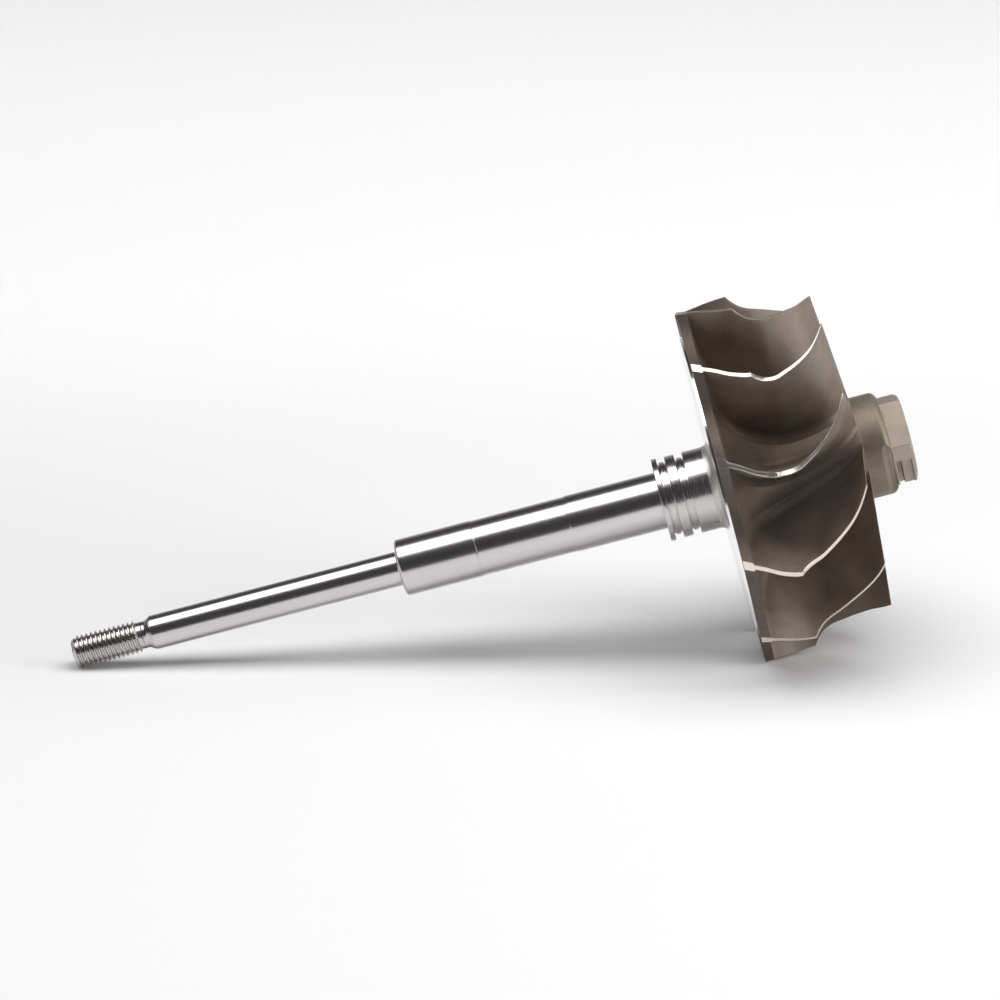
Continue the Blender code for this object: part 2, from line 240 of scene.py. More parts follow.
def makeCastGrain():
    # Sand-like skin of an investment casting: fine grains over slow swells, and a stain mask.
    g = grainSettings
    group, start, end = newGroup("castGrain",
                                 [("Grain scale", g["grain"]), ("Stain scale", g["stain"])],
                                 ["Height", "Stain", "Speck"])
    coordinates = group.nodes.new("ShaderNodeTexCoord")
    grain = group.nodes.new("ShaderNodeTexNoise")
    grain.inputs["Detail"].default_value = g["grainDetail"]
    grain.inputs["Roughness"].default_value = g["grainRoughness"]
    group.links.new(coordinates.outputs["Object"], grain.inputs["Vector"])
    group.links.new(start.outputs["Grain scale"], grain.inputs["Scale"])
    stain = group.nodes.new("ShaderNodeTexNoise")
    stain.inputs["Detail"].default_value = g["stainDetail"]
    stain.inputs["Distortion"].default_value = g["stainDistortion"]
    group.links.new(coordinates.outputs["Object"], stain.inputs["Vector"])
    group.links.new(start.outputs["Stain scale"], stain.inputs["Scale"])
    swell = group.nodes.new("ShaderNodeMath")
    swell.operation = "MULTIPLY_ADD"
    swell.inputs[1].default_value = g["swell"]
    group.links.new(stain.outputs["Fac"], swell.inputs[0])
    group.links.new(grain.outputs["Fac"], swell.inputs[2])
    speck = group.nodes.new("ShaderNodeMapRange")
    speck.inputs["From Min"].default_value, speck.inputs["From Max"].default_value = g["speckRange"]
    group.links.new(grain.outputs["Fac"], speck.inputs["Value"])
    group.links.new(swell.outputs["Value"], end.inputs["Height"])
    group.links.new(stain.outputs["Fac"], end.inputs["Stain"])
    group.links.new(speck.outputs["Result"], end.inputs["Speck"])
    return group


turningMarks = makeTurningMarks()
castGrain = makeCastGrain()


def newMaterial(name, metallic, roughness=0.5, specular=0.5):
    material = bpy.data.materials.new(name)
    material.use_nodes = True
    shader = material.node_tree.nodes["Principled BSDF"]
    shader.inputs["Metallic"].default_value = metallic
    shader.inputs["Roughness"].default_value = roughness
    shader.inputs["Specular IOR Level"].default_value = specular
    return material, material.node_tree.nodes, material.node_tree.links, shader


def placeGroup(nodes, group, **values):
    node = nodes.new("ShaderNodeGroup")
    node.node_tree = group
    for label, value in values.items():
        node.inputs[label.replace("_", " ")].default_value = value
    return node


def mapMask(nodes, links, mask, low, high, fromLow=0.3, fromHigh=0.7):
    # A noise mask stays mostly between 0.3 and 0.7, so that is the range it is spread from.
    spread = nodes.new("ShaderNodeMapRange")
    spread.inputs["From Min"].default_value = fromLow
    spread.inputs["From Max"].default_value = fromHigh
    spread.inputs["To Min"].default_value = low
    spread.inputs["To Max"].default_value = high
    links.new(mask, spread.inputs["Value"])
    return spread.outputs["Result"]


def mixColors(nodes, links, mask, first, second):
    mix = nodes.new("ShaderNodeMix")
    mix.data_type = "RGBA"
    mix.inputs["A"].default_value = (*first, 1.0)
    mix.inputs["B"].default_value = (*second, 1.0)
    links.new(mask, mix.inputs["Factor"])
    return mix.outputs["Result"]


def addBump(nodes, links, shader, height, strength, distance):
    bump = nodes.new("ShaderNodeBump")
    bump.inputs["Strength"].default_value = strength
    bump.inputs["Distance"].default_value = distance
    links.new(height, bump.inputs["Height"])
    links.new(bump.outputs["Normal"], shader.inputs["Normal"])


def makeSteel(name, settings):
    material, nodes, links, shader = newMaterial(name, 1.0)
    marks = placeGroup(nodes, turningMarks, Rings_per_metre=settings["rings"], Mottle=settings["mottle"])
    color = mixColors(nodes, links, marks.outputs["Mask"], settings["dark"], settings["light"])
    links.new(color, shader.inputs["Base Color"])
    roughness = mapMask(nodes, links, marks.outputs["Mask"], *settings["roughness"])
    links.new(roughness, shader.inputs["Roughness"])
    addBump(nodes, links, shader, marks.outputs["Height"], settings["bump"], settings["bumpDepth"])
    return material


def makeCasting(name, settings):
    material, nodes, links, shader = newMaterial(name, settings["metallic"])
    grain = placeGroup(nodes, castGrain, Grain_scale=settings["grain"], Stain_scale=settings["stain"])
    stained = mapMask(nodes, links, grain.outputs["Stain"], 0.0, 1.0)
    color = mixColors(nodes, links, stained, settings["dark"], settings["light"])
    speckled = nodes.new("ShaderNodeMix")
    speckled.data_type = "RGBA"
    speckled.inputs["B"].default_value = (*settings["speck"], 1.0)
    links.new(color, speckled.inputs["A"])
    speckAmount = mapMask(nodes, links, grain.outputs["Speck"], 0.0, settings["speckAmount"], 0.0, 1.0)
    links.new(speckAmount, speckled.inputs["Factor"])
    links.new(speckled.outputs["Result"], shader.inputs["Base Color"])
    roughness = mapMask(nodes, links, grain.outputs["Stain"], *settings["roughness"])
    links.new(roughness, shader.inputs["Roughness"])
    addBump(nodes, links, shader, grain.outputs["Height"], settings["bump"], settings["bumpDepth"])
    return material


groundSteel = makeSteel("groundSteel", {
    "dark": (0.58, 0.55, 0.565), "light": (0.7, 0.668, 0.683), "roughness": (0.195, 0.235),
    "rings": 9000.0, "mottle": 0.15, "bump": 0.12, "bumpDepth": 0.00001})
turnedSteel = makeSteel("turnedSteel", {
    "dark": (0.50, 0.475, 0.47), "light": (0.68, 0.65, 0.645), "roughness": (0.16, 0.3),
    "rings": 5000.0, "mottle": 0.3, "bump": 0.25, "bumpDepth": 0.00002})
blastedSteel = makeCasting("blastedSteel", {
    "dark": (0.55, 0.525, 0.5), "light": (0.67, 0.645, 0.615), "speck": (0.8, 0.78, 0.75),
    "speckAmount": 0.3, "metallic": 0.9, "roughness": (0.34, 0.46), "grain": 2600.0, "stain": 160.0,
    "bump": 0.3, "bumpDepth": 0.00004})
castAlloy = makeCasting("castAlloy", {
    "dark": (0.168, 0.13, 0.105), "light": (0.25, 0.203, 0.164), "speck": (0.38, 0.33, 0.28),
    "speckAmount": 0.3, "metallic": 0.45, "roughness": (0.46, 0.58), "grain": 2200.0, "stain": 130.0,
    "bump": 0.35, "bumpDepth": 0.00008})
# A darker copy of the cast alloy for the rim's walls: painted shade, keeping these walls, which face up
# to the softbox, as dark as the passages
paintedShadeRim = makeCasting("paintedShadeRim", {
    "dark": (0.085, 0.066, 0.055), "light": (0.125, 0.1, 0.082), "speck": (0.2, 0.17, 0.14),
    "speckAmount": 0.3, "metallic": 0.4, "roughness": (0.5, 0.6), "grain": 2200.0, "stain": 130.0,
    "bump": 0.3, "bumpDepth": 0.00006})
noseCasting = makeCasting("noseCasting", {
    "dark": (0.17, 0.138, 0.102), "light": (0.26, 0.218, 0.165), "speck": (0.42, 0.37, 0.3),
    "speckAmount": 0.3, "metallic": 0.5, "roughness": (0.42, 0.55), "grain": 2200.0, "stain": 130.0,
    "bump": 0.3, "bumpDepth": 0.00006})
machinedAlloy = makeCasting("machinedAlloy", {
    "dark": (0.34, 0.285, 0.235), "light": (0.43, 0.37, 0.315), "speck": (0.55, 0.5, 0.44),
    "speckAmount": 0.3, "metallic": 0.75, "roughness": (0.42, 0.52), "grain": 2600.0, "stain": 150.0,
    "bump": 0.2, "bumpDepth": 0.00004})
cutEdge = makeSteel("cutEdge", {
    "dark": (0.72, 0.65, 0.58), "light": (0.82, 0.76, 0.69), "roughness": (0.3, 0.36),
    "rings": 1500.0, "mottle": 0.8, "bump": 0.05, "bumpDepth": 0.00002})
turnedBack = makeSteel("turnedBack", {
    "dark": (0.88, 0.86, 0.84), "light": (0.94, 0.92, 0.9), "roughness": (0.1, 0.16),
    "rings": 5000.0, "mottle": 0.2, "bump": 0.05, "bumpDepth": 0.00001})
print("materials are ready")


def dress(piece, nodes, slot, *materials):
    # The piece rides with the rotor, takes the place of its CAD nodes and gets its materials.
    for material in materials:
        piece.data.materials.append(material)
    layDown(piece)
    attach(piece, "root")
    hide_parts(*nodes)


# Shaft

# Lengths in mm, along the axis from the threaded end. One pitch of the outline is drawn from the middle
# of one groove to the middle of the next, each flank in steps that are parts of its depth and length.
thread = {
    "crest": 3.4, "root": 2.86, "pitch": 1.0, "crestFlat": 0.16, "rootFlat": 0.2,
    "flankSteps": ((0.12, 0.2), (0.76, 0.65), (0.12, 0.15)),
    "firstGroove": -1.15, "turns": 18, "stepsPerTurn": 96, "weld": 0.002, "smooth": 28.0,
    "tipRadius": 2.75, "tipChamfer": 0.85, "chamferRoom": 0.02,
    "end": 13.75, "runOut": 0.4, "neck": 14.95, "neckRadius": 2.84,
}


def threadLimit(height):
    # The largest radius that the chamfered tip and the run-out leave at this height.
    t = thread
    if height < t["tipChamfer"]:
        part = max(height, 0.0) / t["tipChamfer"]
        return t["tipRadius"] + (t["crest"] + t["chamferRoom"] - t["tipRadius"]) * part
    if height > t["end"]:
        part = (height - t["end"]) / t["runOut"]
        return max(t["neckRadius"], t["crest"] - (t["crest"] - t["neckRadius"]) * part)
    return t["crest"]


def makeThread():
    # One pitch of the thread's outline is wound up round the axis, cut off at both ends and trimmed.
    t = thread
    deselectAll()
    bpy.ops.mesh.primitive_plane_add(size=mm)
    piece = bpy.context.object
    piece.name = "threaded-end"
    bpy.ops.object.mode_set(mode="EDIT")
    bpy.ops.mesh.select_all(action="SELECT")
    bpy.ops.mesh.merge(type="CENTER")
    bpy.ops.transform.translate(value=(t["root"] * mm, 0, t["firstGroove"] * mm))
    depth = t["crest"] - t["root"]
    flank = (t["pitch"] - t["crestFlat"] - t["rootFlat"]) / 2.0
    halfRoot = (0.0, t["rootFlat"] / 2.0)
    rising = [(depth * outward, flank * upward) for outward, upward in t["flankSteps"]]
    falling = [(-outward, upward) for outward, upward in reversed(rising)]
    for outward, upward in [halfRoot] + rising + [(0.0, t["crestFlat"])] + falling + [halfRoot]:
        bpy.ops.mesh.extrude_region_move(TRANSFORM_OT_translate={"value": (outward * mm, 0, upward * mm)})
    bpy.ops.object.mode_set(mode="OBJECT")
    applyModifier(piece, "SCREW", screw_offset=t["pitch"] * mm, iterations=t["turns"],
                  steps=t["stepsPerTurn"], render_steps=t["stepsPerTurn"], axis="Z",
                  use_merge_vertices=False)
    bpy.ops.object.mode_set(mode="EDIT")
    bpy.ops.mesh.select_all(action="SELECT")
    bpy.ops.mesh.remove_doubles(threshold=t["weld"] * mm)
    bpy.ops.mesh.select_all(action="SELECT")
    bpy.ops.mesh.bisect(plane_co=(0, 0, 0), plane_no=(0, 0, 1), use_fill=True, clear_inner=True)
    bpy.ops.mesh.select_all(action="SELECT")
    bpy.ops.mesh.bisect(plane_co=(0, 0, t["neck"] * mm), plane_no=(0, 0, 1), use_fill=True,
                        clear_outer=True)
    bpy.ops.mesh.select_all(action="SELECT")
    bpy.ops.mesh.normals_make_consistent(inside=False)
    bpy.ops.object.mode_set(mode="OBJECT")
    for vertex in piece.data.vertices:
        radius = math.hypot(vertex.co.x, vertex.co.y)
        limit = threadLimit(vertex.co.z / mm) * mm
        if radius > limit:
            vertex.co.x *= limit / radius
            vertex.co.y *= limit / radius
    smoothShade(piece, t["smooth"])
    dress(piece, ["threaded_end"], "turned_steel", turnedSteel)


def makeTurned(name, node, slot, material, profile, edge=None):
    # A turned piece from its outline to its finish. An edge is its width, segments and least angle.
    piece = turnOnLathe(name, profile)
    if edge:
        softenEdges(piece, *edge)
    smoothShade(piece)
    dress(piece, [node], slot, material)


# Radii and heights in mm. A chamfer, foot or step is given as its depth and its length along the axis,
# except that the relief's steps have their lengths on the journal's side and on the relief's side.
shaft = {
    "neckRadius": 2.84, "neckStart": 14.9, "neckEnd": 15.75, "neckEdge": (0.25, 4, 15.0),
    "seatRadius": 3.625, "seatStart": 16.9, "seatEnd": 70.6, "seatChamfer": (0.12, 0.2),
    "seatFoot": (0.25, 0.3), "seatTuck": 0.02,
    "journalRadius": 6.0, "shoulderChamfer": 0.45, "journalEdge": (0.12, 3, 15.0), "frontEnd": 87.2,
    "reliefRadius": 5.88, "reliefSteps": (0.1, 0.15), "reliefEnd": 107.4,
    "rearEnd": 126.8, "rearTuck": 0.05,
}


def makeShaft():
    s = shaft
    chamferDepth, chamferLength = s["seatChamfer"]
    footDepth, footLength = s["seatFoot"]
    journalSide, reliefSide = s["reliefSteps"]
    makeTurned("thread-relief", "thread_relief", "turned_steel", turnedSteel,
               [(s["neckRadius"], s["neckStart"]), (s["neckRadius"], s["neckEnd"]),
                (s["seatRadius"] - chamferDepth, s["seatStart"])], s["neckEdge"])
    makeTurned("compressor-seat", "compressor_seat", "ground_steel", groundSteel,
               [(s["seatRadius"] - chamferDepth, s["seatStart"]),
                (s["seatRadius"], s["seatStart"] + chamferLength),
                (s["seatRadius"], s["seatEnd"] - footLength),
                (s["seatRadius"] + footDepth, s["seatEnd"] + s["seatTuck"])])
    makeTurned("front-journal", "bearing_journal_front", "ground_steel", groundSteel,
               [(s["journalRadius"] - s["shoulderChamfer"], s["seatEnd"]),
                (s["journalRadius"], s["seatEnd"] + s["shoulderChamfer"]),
                (s["journalRadius"], s["frontEnd"] - journalSide),
                (s["reliefRadius"], s["frontEnd"] + reliefSide)], s["journalEdge"])
    makeTurned("journal-relief", "journal_relief", "ground_steel", groundSteel,
               [(s["reliefRadius"], s["frontEnd"]), (s["reliefRadius"], s["reliefEnd"])])
    makeTurned("rear-journal", "bearing_journal_rear", "ground_steel", groundSteel,
               [(s["reliefRadius"], s["reliefEnd"] - reliefSide),
                (s["journalRadius"], s["reliefEnd"] + journalSide),
                (s["journalRadius"], s["rearEnd"] + s["rearTuck"])])


# Radii and heights in mm. The starts are those of the lip, groove, land, groove and collar.
seal = {
    "starts": (126.8, 127.95, 129.6, 131.7, 133.4),
    "lipRadius": 8.8, "grooveRadius": 7.75, "landRadius": 8.68, "edge": (0.16, 4),
    "cornerRelief": 0.35, "reliefLength": 0.3, "reliefSlope": 0.04, "grooveTuck": 0.05,
    "collarEnd": 137.4, "flareRadius": 9.8, "flareEnd": 139.0, "flareSteps": 9, "flareMargin": 0.05,
    "collarSmooth": 40.0,
}


def makeSeal():
    s = seal
    lipStart, grooveOne, land, grooveTwo, collarStart = s["starts"]
    for name, node, radius, low, high in (
            ("seal-lip", "seal_lip", s["lipRadius"], lipStart, grooveOne),
            ("front-ring-groove", "ring_groove_front", s["grooveRadius"], grooveOne, land),
            ("ring-land", "ring_land", s["landRadius"], land, grooveTwo),
            ("rear-ring-groove", "ring_groove_rear", s["grooveRadius"], grooveTwo, collarStart)):
        profile = [(radius, low), (radius, high)]
        edge = s["edge"]
        if "groove" in name:
            # Each groove has a small relief turned into both corners.
            deep = radius - s["cornerRelief"]
            inside = s["reliefLength"]
            outside = s["reliefLength"] + s["reliefSlope"]
            profile = [(deep, low - s["grooveTuck"]), (deep, low + inside), (radius, low + outside),
                       (radius, high - outside), (deep, high - inside), (deep, high + s["grooveTuck"])]
            edge = None
        makeTurned(name, node, "turned_steel", turnedSteel, profile, edge)
    makeCollar(collarStart)


def makeCollar(start):
    # The collar is turned as far as its flare, which keeps the grey skin of the weld's cleaning.
    s = seal
    profile = [(s["landRadius"], start), (s["landRadius"], s["collarEnd"])]
    for step in range(1, s["flareSteps"] + 1):
        turn = step / s["flareSteps"] * math.pi / 2.0
        profile.append((s["landRadius"] + (s["flareRadius"] - s["landRadius"]) * (1.0 - math.cos(turn)),
                        s["collarEnd"] + (s["flareEnd"] - s["collarEnd"]) * math.sin(turn)))
    collar = turnOnLathe("weld-collar", profile)
    smoothShade(collar, s["collarSmooth"])
    for face in collar.data.polygons:
        if face.center.z > (s["collarEnd"] + s["flareMargin"]) * mm:
            face.material_index = 1
    dress(collar, ["weld_collar"], "turned_steel", turnedSteel, blastedSteel)


makeThread()
makeShaft()
makeSeal()
print("shaft is done")


# Wheel

# Radii and heights in mm, the lean in degrees at the back and the front of the disc's rim.
wheel = {
    "backStart": 138.95, "raisedRadius": 31.9, "discStart": 139.45, "discEnd": 141.35, "tipRadius": 38.1,
    "faceRing": 34.0, "hubFoot": 30.0, "hubTop": 10.8, "hubEnd": 168.8, "hubCurve": 2.3,
    "hubSteps": 60, "hubCrowding": 2.2, "bodyEnd": 169.8, "endRounding": ((0.08, 0.2), (0.3, 0.4)),
    "sides": 264, "scallopRadius": 14.45, "scallopCentre": 47.45, "scallopSides": 96, "cutterLength": 8.0,
    "landLean": (-0.5, 1.05), "leanStart": 32.5, "leanEnd": 35.0,
    "edge": (0.3, 3, 50.0), "smooth": 35.0,
    "backMargin": 0.02, "landMargin": 0.05, "rimRadius": 32.9, "rimMargin": 0.18,
}

# Shroud means the outline of the blades' tips. Radii, heights and thicknesses in mm, turns in degrees.
blade = {
    "count": 11, "tipEnd": 150.5, "outletHeight": 167.3, "outletHubHeight": 169.6,
    "shroudHeights": (150.5, 151.0, 151.61, 153.06, 154.91, 157.39, 160.48, 163.58, 167.3),
    "shroudRadii": (38.1, 37.35, 36.6, 35.28, 34.42, 33.83, 33.2, 32.9, 33.45),
    "shroudSteps": 60, "shroudCrowding": 1.4,
    "turnHeights": (139.4, 143.4, 146.9, 150.5, 153.06, 154.91, 157.39, 160.48, 163.58, 167.3, 169.6,
                    171.0),
    "turns": (-0.5, 2.65, 5.9, 7.67, 7.8, 7.4, 5.3, 1.8, -3.2, -13.8, -24.5, -31.0),
    # At the tip edge, half way and at the outlet:
    "tipThickness": (1.05, 0.9, 0.75), "rootThickness": (1.1, 2.0, 1.5), "fillet": (0.35, 2.0, 1.3),
    "rootTaper": 1.3, "rootTuck": 0.02,
    "rows": 56, "rowCrowding": 1.25, "columns": 26, "columnCrowding": 1.7,
    "edge": (0.09, 2, 50.0), "smooth": 38.0,
}


def hubRadiusAt(height):
    w = wheel
    part = min(max((height - w["discEnd"]) / (w["hubEnd"] - w["discEnd"]), 0.0), 1.0)
    return w["hubTop"] + (w["hubFoot"] - w["hubTop"]) * (
        1.0 - math.sqrt(max(0.0, 1.0 - (1.0 - part) ** w["hubCurve"])))


def hubLine():
    # From the disc's rim, in along its face and up the concave hub. Points are (radius, height) in mm.
    w = wheel
    points = [(w["tipRadius"], w["discEnd"]), (w["faceRing"], w["discEnd"])]
    for step in range(w["hubSteps"] + 1):
        part = (step / w["hubSteps"]) ** w["hubCrowding"]
        height = w["discEnd"] + (w["hubEnd"] - w["discEnd"]) * part
        points.append((hubRadiusAt(height), height))
    return points


def shroudLine():
    b = blade
    points = []
    for step in range(b["shroudSteps"] + 1):
        part = (step / b["shroudSteps"]) ** b["shroudCrowding"]
        height = b["tipEnd"] + (b["outletHeight"] - b["tipEnd"]) * part
        points.append((smoothAt(b["shroudHeights"], b["shroudRadii"], height), height))
    return points


def alongLine(points, part):
    lengths = [0.0]
    for first, second in zip(points[:-1], points[1:]):
        lengths.append(lengths[-1] + math.dist(first, second))
    reach = part * lengths[-1]
    i = 0
    while i < len(points) - 2 and reach > lengths[i + 1]:
        i += 1
    step = (reach - lengths[i]) / (lengths[i + 1] - lengths[i])
    return tuple(a + (b - a) * step for a, b in zip(points[i], points[i + 1]))


def makeWheelBody():
    w = wheel
    profile = [(w["raisedRadius"], w["backStart"]), (w["raisedRadius"], w["discStart"]),
               (w["tipRadius"], w["discStart"])] + hubLine()
    # The end narrows inside the boss, so that no edge shows where the two meet.
    profile.append((w["hubTop"], w["bodyEnd"]))
    profile += [(w["hubTop"] - inward, w["bodyEnd"] + upward) for inward, upward in w["endRounding"]]
    body = turnOnLathe("wheel-body", profile, w["sides"])
    cutScallops(body)
    leanLands(body)
    softenEdges(body, *w["edge"])
    smoothShade(body, w["smooth"])
    # The back face, the lands and the rim walls each take their own material; the rim walls' darker alloy
    # is painted shade
    for face in body.data.polygons:
        radius = math.hypot(face.center.x, face.center.y) / mm
        height = face.center.z / mm
        if height < w["discStart"] - w["backMargin"]:
            face.material_index = 3
        elif radius > w["tipRadius"] - w["landMargin"]:
            face.material_index = 1
        elif radius > w["rimRadius"] and height < w["discEnd"] - w["rimMargin"]:
            face.material_index = 2
    dress(body, ["back_disc", "hub"], "cast_alloy", castAlloy, cutEdge, paintedShadeRim, turnedBack)


def cutScallops(body):
    # A round bite out of the disc's rim, half way between each blade and the next.
    w = wheel
    for index in range(blade["count"]):
        turn = 2.0 * math.pi * (index + 0.5) / blade["count"]
        place = (w["scallopCentre"] * math.cos(turn), w["scallopCentre"] * math.sin(turn),
                 (w["discStart"] + w["discEnd"]) / 2.0)
        deselectAll()
        bpy.ops.mesh.primitive_cylinder_add(vertices=w["scallopSides"], radius=w["scallopRadius"] * mm,
                                            depth=w["cutterLength"] * mm,
                                            location=[value * mm for value in place])
        cutWith(body, bpy.context.object)


def leanLands(body):
    # The lands between the scallops lean with the blades that stand on them.
    w = wheel
    low, high = w["landLean"]
    for vertex in body.data.vertices:
        x, y = vertex.co.x, vertex.co.y
        up = (vertex.co.z / mm - w["discStart"]) / (w["discEnd"] - w["discStart"])
        out = (math.hypot(x, y) / mm - w["leanStart"]) / (w["leanEnd"] - w["leanStart"])
        lean = math.radians(low + (high - low) * min(max(up, 0.0), 1.0)) * min(max(out, 0.0), 1.0)
        vertex.co.x = x * math.cos(lean) - y * math.sin(lean)
        vertex.co.y = x * math.sin(lean) + y * math.cos(lean)


def bladePoint(across, along, side, hub, shroud):
    # along runs from the tip edge (0) to the outlet edge (1), across from the hub (0) to the shroud (1).
    b = blade
    hubRadius, hubHeight = alongLine(hub, along)
    tipRadius, tipHeight = alongLine(shroud, along)
    radius = hubRadius + (tipRadius - hubRadius) * across
    height = hubHeight + (tipHeight - hubHeight) * across
    length = math.dist((hubRadius, hubHeight), (tipRadius, tipHeight))
    stops = (0.0, 0.5, 1.0)
    tip = smoothAt(stops, b["tipThickness"], along)
    root = smoothAt(stops, b["rootThickness"], along)
    fillet = smoothAt(stops, b["fillet"], along)
    span = max(across, 0.0)
    half = (tip + (root - tip) * (1.0 - span) ** b["rootTaper"]) / 2.0
    rise = min(span * length, fillet)
    half += fillet - math.sqrt(max(0.0, fillet ** 2 - (fillet - rise) ** 2))
    angle = math.radians(smoothAt(b["turnHeights"], b["turns"], height)) + side * half / radius
    return (radius * math.cos(angle) * mm, radius * math.sin(angle) * mm, height * mm)


def makeFirstBlade():
    # A flat slab of squares is pulled into the blade's shape: its long way becomes the way from the tip
    # edge to the outlet, its short way the way from the hub to the shroud.
    b = blade
    deselectAll()
    bpy.ops.mesh.primitive_grid_add(x_subdivisions=b["rows"], y_subdivisions=b["columns"], size=2.0)
    piece = bpy.context.object
    piece.name = "blade-01"
    bpy.ops.object.mode_set(mode="EDIT")
    bpy.ops.mesh.select_all(action="SELECT")
    bpy.ops.mesh.extrude_region_move(TRANSFORM_OT_translate={"value": (0, 0, 1.0)})
    bpy.ops.mesh.select_all(action="SELECT")
    bpy.ops.mesh.normals_make_consistent(inside=False)
    bpy.ops.object.mode_set(mode="OBJECT")
    for face in piece.data.polygons:
        onTipEdge = face.normal.x < -0.5
        onShroud = face.normal.y > 0.5
        face.material_index = 1 if onTipEdge or onShroud else 0
    hub = hubLine() + [(wheel["hubTop"], b["outletHubHeight"])]
    shroud = shroudLine()
    for vertex in piece.data.vertices:
        along = ((vertex.co.x + 1.0) / 2.0) ** b["rowCrowding"]
        across = ((vertex.co.y + 1.0) / 2.0) ** b["columnCrowding"]
        if across < 0.0001:
            across = -b["rootTuck"]
        side = -1.0 if vertex.co.z < 0.5 else 1.0
        vertex.co = bladePoint(across, along, side, hub, shroud)
    makeActive(piece)
    bpy.ops.object.mode_set(mode="EDIT")
    bpy.ops.mesh.select_all(action="SELECT")
    bpy.ops.mesh.normals_make_consistent(inside=False)
    bpy.ops.object.mode_set(mode="OBJECT")
    softenEdges(piece, *b["edge"])
    smoothShade(piece, b["smooth"])
    return piece


def makeBlades():
    first = makeFirstBlade()
    blades = [first]
    for index in range(1, blade["count"]):
        copy = first.copy()
        copy.data = first.data.copy()
        copy.name = "blade-%02d" % (index + 1)
        bpy.context.collection.objects.link(copy)
        makeActive(copy)
        copy.rotation_euler = (0, 0, 2.0 * math.pi * index / blade["count"])
        bpy.ops.object.transform_apply(location=True, rotation=True, scale=True)
        blades.append(copy)
    for index, piece in enumerate(blades):
        dress(piece, ["blade_%02d" % (index + 1)], "cast_alloy", castAlloy, cutEdge)


makeWheelBody()
makeBlades()
print("wheel is done")


# Nose

# Lengths in mm, turns in degrees round the axis. Every block that cuts the nose stands off the axis on
# the balanced side: its distance is that of its near face, its sides run across and its heights along.
nose = {
    "start": 168.9, "radius": 10.78, "shoulder": 174.4, "end": 175.3, "bossEdge": (0.5, 5, 20.0),
    "shoulderOverhang": 0.1,
    "flatsAcross": 17.3, "hexLength": 8.0, "hexEnd": 179.7, "cornerTurn": 21.0, "hexEdge": (0.12, 3),
    "chamferLength": 0.7, "chamferDepth": 1.5,
    "coneStart": 174.6, "coneRoom": 1.0, "coneReach": 2.4,
    "balancedTurn": 111.0, "cutterDepth": 4.0,
    "flatSides": (-12.0, 12.0), "flatHeights": (173.0, 181.0), "flatRounding": 1.2,
    "notchSides": (-1.2, 8.0), "notchRounding": 0.2,
    "notches": ((1.3, (175.6, 178.9)), (3.4, (175.6, 176.85))),  # depths below the flat, and heights
    "bossFinish": (0.08, 2, 30.0), "hexFinish": (0.06, 2, 40.0),
}


def noseCutter(name, distance, sides, heights, rounding):
    n = nose
    size = (n["cutterDepth"], sides[1] - sides[0], heights[1] - heights[0])
    centre = (distance + n["cutterDepth"] / 2.0, sum(sides) / 2.0, sum(heights) / 2.0)
    return boxAt(name, size, centre, n["balancedTurn"], rounding)


def makeBoss():
    n = nose
    corner = n["flatsAcross"] / math.sqrt(3.0)
    boss = turnOnLathe("nose-boss", [(n["radius"], n["start"]), (n["radius"], n["shoulder"]),
                                     (corner - n["shoulderOverhang"], n["end"])])
    softenEdges(boss, *n["bossEdge"])
    cutWith(boss, noseCutter("flat", n["flatsAcross"] / 2.0, n["flatSides"], n["flatHeights"],
                             n["flatRounding"]))
    softenEdges(boss, *n["bossFinish"])
    smoothShade(boss)
    dress(boss, ["nose_boss"], "cast_alloy", noseCasting)


def makeHex():
    n = nose
    corner = n["flatsAcross"] / math.sqrt(3.0)
    deselectAll()
    # A six-sided cylinder has its first corner at a quarter turn.
    bpy.ops.mesh.primitive_cylinder_add(vertices=6, radius=corner * mm, depth=n["hexLength"] * mm,
                                        location=(0, 0, (n["hexEnd"] - n["hexLength"] / 2.0) * mm),
                                        rotation=(0, 0, math.radians(n["cornerTurn"] - 90.0)))
    hexEnd = bpy.context.object
    hexEnd.name = "hex-nose"
    bpy.ops.object.transform_apply(location=True, rotation=True, scale=True)
    softenEdges(hexEnd, *n["hexEdge"])

    # The corners' chamfer lies on a cone, which is drawn past both ends of the slope.
    slope = n["chamferLength"] / n["chamferDepth"]
    chamferStart = n["hexEnd"] - n["chamferLength"]
    cone = turnOnLathe("cone", [(corner + n["coneRoom"], n["coneStart"]),
                                (corner + n["coneRoom"], chamferStart - n["coneRoom"] * slope),
                                (corner - n["coneReach"], chamferStart + n["coneReach"] * slope)])
    cutWith(hexEnd, cone, "INTERSECT")
    for depth, heights in n["notches"]:
        cutWith(hexEnd, noseCutter("notch", n["flatsAcross"] / 2.0 - depth, n["notchSides"], heights,
                                   n["notchRounding"]))
    softenEdges(hexEnd, *n["hexFinish"])
    smoothShade(hexEnd)
    dress(hexEnd, ["hex_nose"], "machined_alloy", machinedAlloy)


makeBoss()
makeHex()
print("nose is done")


# Floor, lights and camera

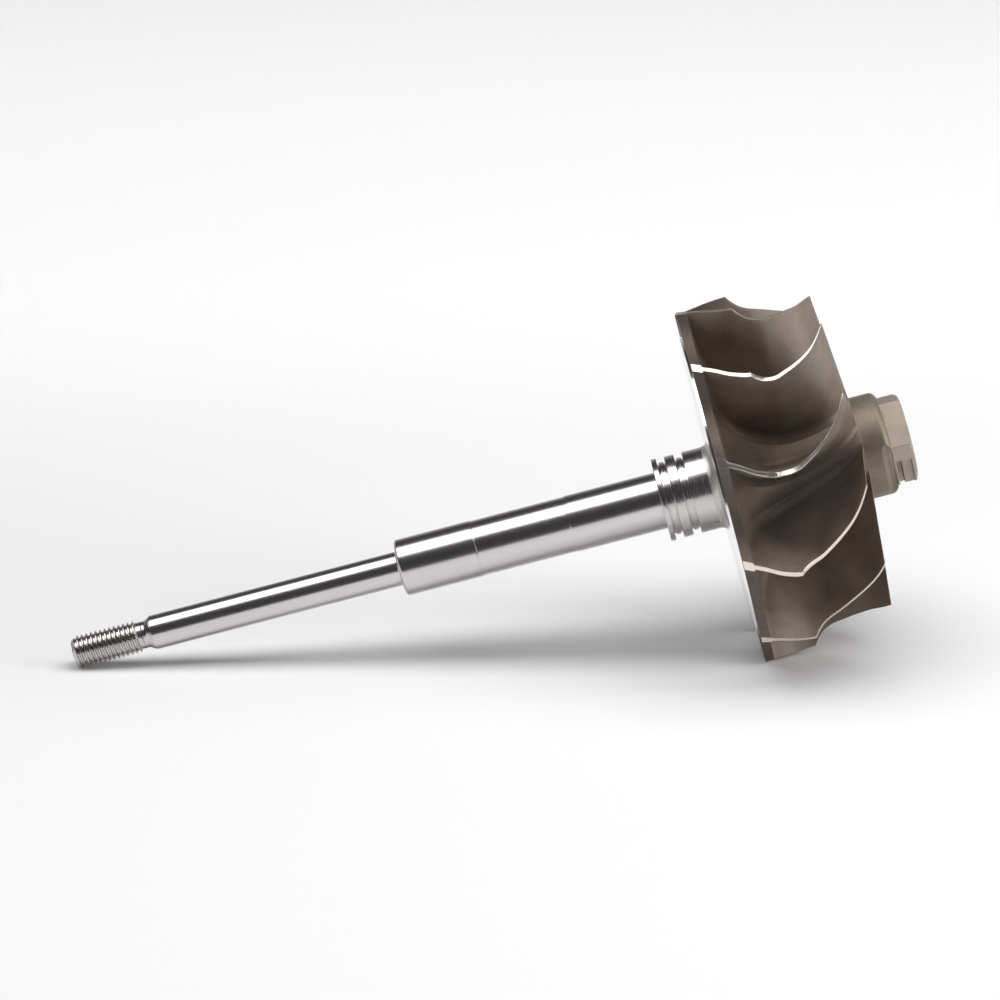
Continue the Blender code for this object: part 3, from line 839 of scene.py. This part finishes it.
# Places and sizes in metres, turns in degrees, powers in watts.
studio = {
    "floorSize": 8.0, "floorColor": (0.93, 0.93, 0.935),
    # The washes shine straight down, in cones that end beside the rotor and brighten the floor alone.
    "lights": {
        "softbox": {"place": (0.02, -0.068, 0.72), "size": (1.3, 0.56), "power": 6.7},
        "sideFill": {"place": (0.78, -0.22, 0.3), "size": (0.5, 0.4), "power": 3.8,
                     "aim": (0.05, 0.0, 0.05)},
        "wash1": {"place": (0.0, 0.8, 1.2), "size": (3.2, 1.2), "power": 2.8, "spread": 15.6},
        "wash2": {"place": (0.0, 1.1, 1.2), "size": (3.2, 1.2), "power": 8.6, "spread": 43.9},
        "wash3": {"place": (0.0, -1.35, 1.2), "size": (3.2, 1.2), "power": 16.0, "spread": 62.0},
    },
    "camera": {"place": (-0.023886, -0.753367, 0.274227), "turn": (72.3152, 1.0369, -2.2787),
               "lens": 136.939, "sensor": 36.0, "nearClip": 0.01},
}

# Brightness of the air in front, and behind at the horizon and above, by parts of a unit direction.
air = {
    "color": (1.0, 0.97, 0.98), "frontGlow": 0.045, "backGlow": (0.6, 0.04), "backReach": (0.0, 0.62),
    "sideReach": (-0.05, 0.3),
}


def addAreaLight(name, place, size, power, aim=None, spread=180.0):
    deselectAll()
    bpy.ops.object.light_add(type="AREA", location=place)
    light = bpy.context.object
    light.name = name
    light.data.shape = "RECTANGLE"
    light.data.size, light.data.size_y = size
    light.data.energy = power
    light.data.spread = math.radians(spread)
    if aim:
        light.rotation_euler = (Vector(aim) - Vector(place)).to_track_quat("-Z", "Y").to_euler()


def makeAir():
    # The room: dark in front, and behind the rotor bright at the horizon and dark above.
    world = bpy.data.worlds.new("studioAir")
    world.use_nodes = True
    bpy.context.scene.world = world
    nodes = world.node_tree.nodes
    links = world.node_tree.links
    coordinates = nodes.new("ShaderNodeTexCoord")
    split = nodes.new("ShaderNodeSeparateXYZ")
    links.new(coordinates.outputs["Generated"], split.inputs["Vector"])
    back = nodes.new("ShaderNodeMapRange")
    back.interpolation_type = "SMOOTHSTEP"
    back.inputs["From Min"].default_value, back.inputs["From Max"].default_value = air["backReach"]
    back.inputs["To Min"].default_value, back.inputs["To Max"].default_value = air["backGlow"]
    links.new(split.outputs["Z"], back.inputs["Value"])
    glow = nodes.new("ShaderNodeMapRange")
    glow.interpolation_type = "SMOOTHSTEP"
    glow.inputs["From Min"].default_value, glow.inputs["From Max"].default_value = air["sideReach"]
    glow.inputs["To Min"].default_value = air["frontGlow"]
    links.new(split.outputs["Y"], glow.inputs["Value"])
    links.new(back.outputs["Result"], glow.inputs["To Max"])
    links.new(glow.outputs["Result"], nodes["Background"].inputs["Strength"])
    nodes["Background"].inputs["Color"].default_value = (*air["color"], 1.0)


def makeFloor():
    deselectAll()
    bpy.ops.mesh.primitive_plane_add(size=studio["floorSize"], location=(0, 0, 0))
    floor = bpy.context.object
    floor.name = "floor"
    material, nodes, links, shader = newMaterial("paleFloor", 0.0, 0.9, 0.1)
    shader.inputs["Base Color"].default_value = (*studio["floorColor"], 1.0)
    floor.data.materials.append(material)


def makeCamera():
    settings = studio["camera"]
    deselectAll()
    bpy.ops.object.camera_add(location=settings["place"],
                              rotation=[math.radians(value) for value in settings["turn"]])
    camera = bpy.context.object
    camera.data.lens = settings["lens"]
    camera.data.sensor_width = settings["sensor"]
    camera.data.clip_start = settings["nearClip"]
    bpy.context.scene.camera = camera
    bpy.context.scene.view_settings.view_transform = "Standard"
    bpy.context.scene.view_settings.look = "None"


makeFloor()
for name, settings in studio["lights"].items():
    addAreaLight(name, **settings)
makeAir()
makeCamera()
print("studio is done")
